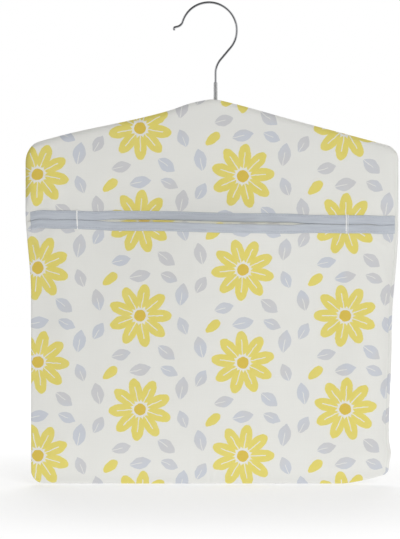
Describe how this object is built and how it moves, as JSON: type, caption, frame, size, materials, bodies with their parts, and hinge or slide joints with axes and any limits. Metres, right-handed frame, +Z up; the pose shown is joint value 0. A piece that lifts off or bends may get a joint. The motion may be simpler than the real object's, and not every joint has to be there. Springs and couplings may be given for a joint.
{
  "type": "peg bag",
  "caption": "Flat cotton peg bag with a bound slit mouth across its front, hung on a short wooden hanger with a swivelling wire hook.",
  "frame": {"origin": "the hanging point: the underside of the hook's crown, where it bears on a rail or line", "axes": "+Z up along the shank, +X to the right as seen from the front, and the front with the mouth faces -Y"},
  "size_m": [0.336, 0.0265, 0.4336],
  "materials": {
    "chromed_wire": "bright plated",
    "plated_steel": "satin",
    "hanger_wood": "waxed",
    "printed_cotton": "plain weave, printed",
    "binding_cotton": "plain weave, folded",
    "white_thread": "satin stitch",
    "seam_cotton": "overlocked"
  },
  "bodies": {
    "hook": {"hook": "chromed_wire"},
    "hanger": {"hanger_bar": "hanger_wood", "hook_ferrule": "plated_steel", "hook_washer": "plated_steel"},
    "bag": {"back_panel": "printed_cotton", "front_yoke": "printed_cotton", "upper_binding": "binding_cotton", "shoulder_seam_left": "seam_cotton", "shoulder_seam_right": "seam_cotton", "side_seam_left": "seam_cotton", "side_seam_right": "seam_cotton", "bottom_seam": "seam_cotton"},
    "pocket": {"front_pocket": "printed_cotton", "lower_binding": "binding_cotton", "bar_tack_left": "white_thread", "bar_tack_right": "white_thread"}
  },
  "joints": [
    {"name": "hook_swivel", "type": "hinge", "parent": "hook", "child": "hanger", "pos_m": [0.0059, 0, -0.1], "axis": [0, 0, 1], "continuous": true},
    {"name": "bag_lift", "type": "slide", "parent": "hanger", "child": "bag", "axis": [0, 0, 1], "range_m": [0, 0.02]},
    {"name": "mouth_open", "type": "hinge", "parent": "bag", "child": "pocket", "pos_m": [0.0022, 0, -0.4315], "axis": [1, 0, 0], "range_deg": [0, 5], "stiffness_Nm_per_rad": 1}
  ]
}
